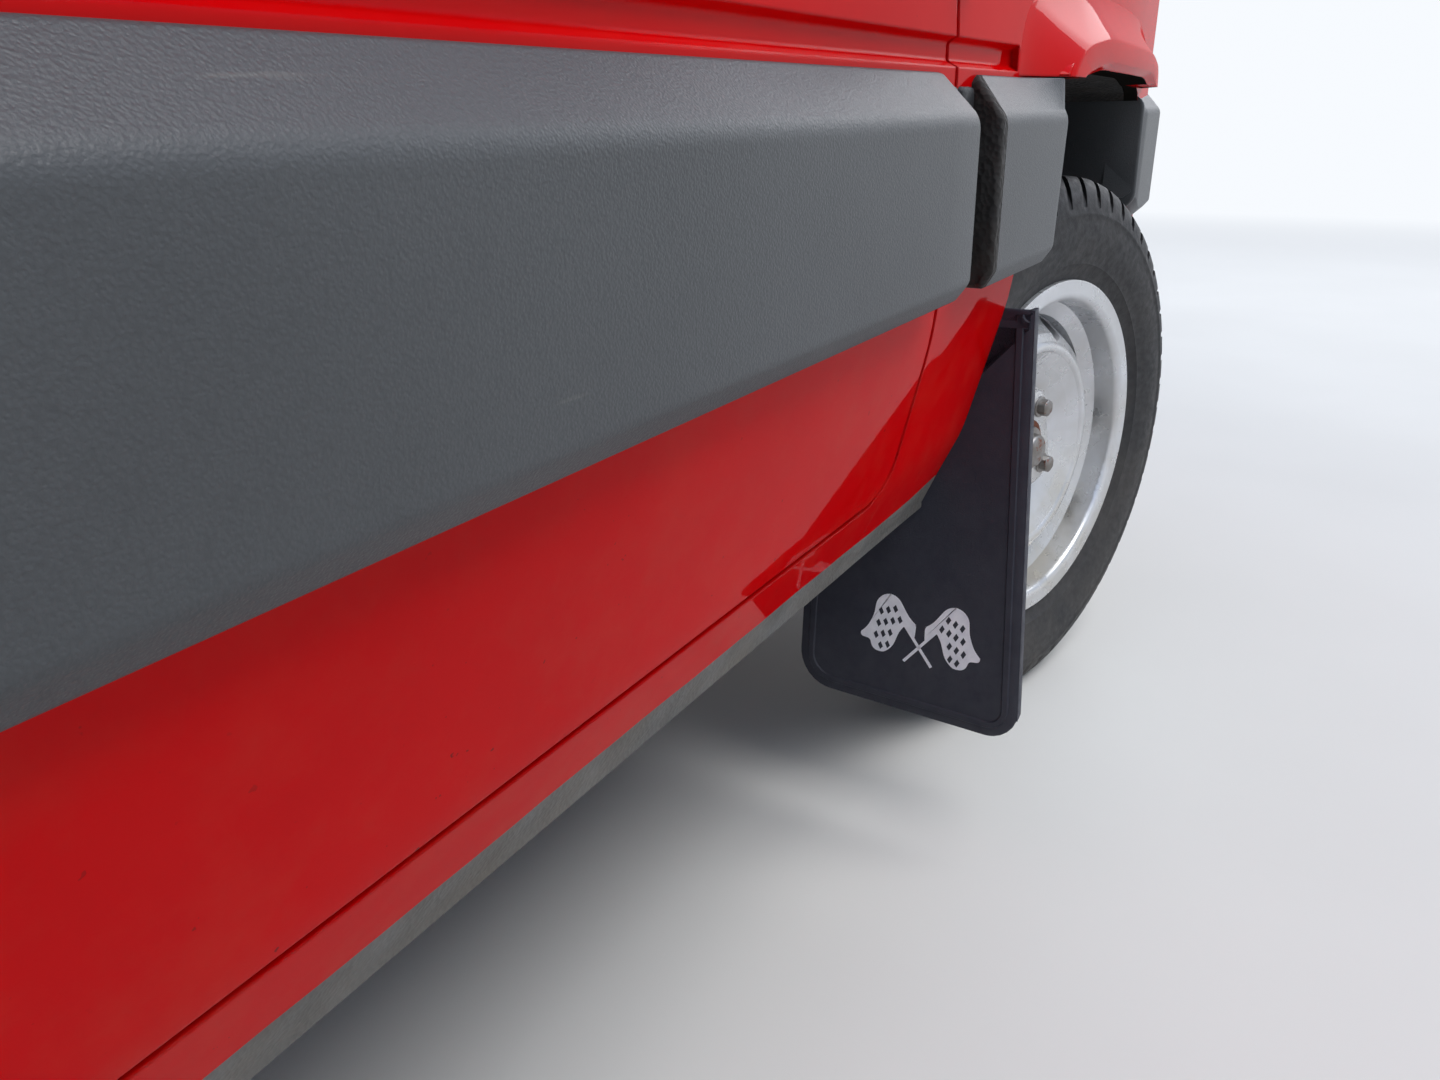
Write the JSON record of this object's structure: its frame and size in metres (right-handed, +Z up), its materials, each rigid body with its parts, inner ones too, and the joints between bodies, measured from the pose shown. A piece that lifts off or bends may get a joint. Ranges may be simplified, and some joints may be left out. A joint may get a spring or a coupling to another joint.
{
  "type": "small rally hatchback car",
  "caption": "Small boxy raised hatchback in red with grey plastic side bands, steel wheels and chequered-flag mud flaps; doors, tailgate, bonnet, steering and wheels move.",
  "frame": {"origin": "on the ground under the middle of the car's overall length and width", "axes": "+X towards the front of the car, +Y to its left, +Z up"},
  "size_m": [3.38, 1.764, 1.4479],
  "materials": {
    "red_paint": "glossy red paint over steel",
    "grey_plastic": "grained dark grey plastic",
    "stone_guard": "rough grey stone guard coating",
    "black_steel": "black chassis paint",
    "wheel_silver": "silver wheel paint",
    "hub_iron": "cast iron with some rust",
    "engine_metal": "cast aluminium",
    "tyre_rubber": "dusty black tyre rubber",
    "flap_rubber": "blue-black rubber",
    "clear_glass": "clear safety glass",
    "lamp_glass": "clear lamp lens",
    "red_lens": "red lamp lens",
    "seat_fabric": "dark grey seat cloth",
    "exhaust_steel": "dull steel"
  },
  "bodies": {
    "shell": {"floor_pan": "black_steel", "rear_floor": "black_steel", "side_frame_right": "red_paint", "side_frame_left": "red_paint", "roof_panel": "red_paint", "cowl_panel": "red_paint", "front_wings": "red_paint", "front_panel": "red_paint", "rear_panel": "red_paint", "wheel_tubs": "black_steel", "fixed_glass": "clear_glass", "body_bands": "grey_plastic", "front_bumper": "grey_plastic", "rear_bumper": "grey_plastic", "headlamps": "lamp_glass", "rear_lamps": "red_lens", "engine_block": "engine_metal", "front_subframe": "black_steel", "drive_shafts": "black_steel", "rear_axle": "black_steel", "fuel_tank": "black_steel", "exhaust": "exhaust_steel", "front_seats": "seat_fabric", "rear_bench": "seat_fabric", "dashboard": "grey_plastic", "steering_wheel": "grey_plastic", "mud_flaps": "flap_rubber"},
    "bonnet": {"bonnet": "red_paint"},
    "tailgate": {"tailgate": "red_paint", "tailgate_glass": "clear_glass"},
    "door_right": {"door_right": "red_paint", "door_glass_right": "clear_glass", "door_trim_right": "grey_plastic"},
    "knuckle_right": {"knuckle_right": "hub_iron"},
    "door_left": {"door_left": "red_paint", "door_glass_left": "clear_glass", "door_trim_left": "grey_plastic"},
    "knuckle_left": {"knuckle_left": "hub_iron"},
    "wheel_front_right": {"tyre_front_right": "tyre_rubber", "rim_front_right": "wheel_silver", "hub_front_right": "hub_iron"},
    "wheel_front_left": {"tyre_front_left": "tyre_rubber", "rim_front_left": "wheel_silver", "hub_front_left": "hub_iron"},
    "wheel_rear_right": {"tyre_rear_right": "tyre_rubber", "rim_rear_right": "wheel_silver", "hub_rear_right": "hub_iron"},
    "wheel_rear_left": {"tyre_rear_left": "tyre_rubber", "rim_rear_left": "wheel_silver", "hub_rear_left": "hub_iron"}
  },
  "joints": [
    {"name": "steer_left", "type": "hinge", "parent": "shell", "child": "knuckle_left", "pos_m": [1.09, 0.53, 0.283], "axis": [0, 0, 1], "range_deg": [-21, 49]},
    {"name": "steer_right", "type": "hinge", "parent": "shell", "child": "knuckle_right", "pos_m": [1.09, -0.53, 0.283], "axis": [0, 0, 1], "range_deg": [-21, 49]},
    {"name": "spin_front_right", "type": "hinge", "parent": "knuckle_right", "child": "wheel_front_right", "pos_m": [1.0629, -0.63867, 0.283], "axis": [0.2419, 0.9703, 0], "continuous": true},
    {"name": "spin_front_left", "type": "hinge", "parent": "knuckle_left", "child": "wheel_front_left", "pos_m": [1.11709, 0.63867, 0.283], "axis": [0.2419, 0.9703, 0], "continuous": true},
    {"name": "spin_rear_right", "type": "hinge", "parent": "shell", "child": "wheel_rear_right", "pos_m": [-1.08, -0.642, 0.283], "axis": [0, 1, 0], "continuous": true},
    {"name": "spin_rear_left", "type": "hinge", "parent": "shell", "child": "wheel_rear_left", "pos_m": [-1.08, 0.642, 0.283], "axis": [0, 1, 0], "continuous": true},
    {"name": "door_right", "type": "hinge", "parent": "shell", "child": "door_right", "pos_m": [0.6, -0.732, 0.8], "axis": [0, 0, 1], "range_deg": [0, 70]},
    {"name": "door_left", "type": "hinge", "parent": "shell", "child": "door_left", "pos_m": [0.6, 0.732, 0.8], "axis": [0, 0, -1], "range_deg": [0, 70]},
    {"name": "tailgate", "type": "hinge", "parent": "shell", "child": "tailgate", "pos_m": [-1.45216, 0, 1.3905], "axis": [0, 1, 0], "range_deg": [0, 80]},
    {"name": "bonnet", "type": "hinge", "parent": "shell", "child": "bonnet", "pos_m": [0.813, 0, 0.89107], "axis": [0, -1, 0], "range_deg": [0, 60]}
  ],
  "couplings": [
    {"joint": "steer_right", "follows": "steer_left", "ratio": 1}
  ]
}
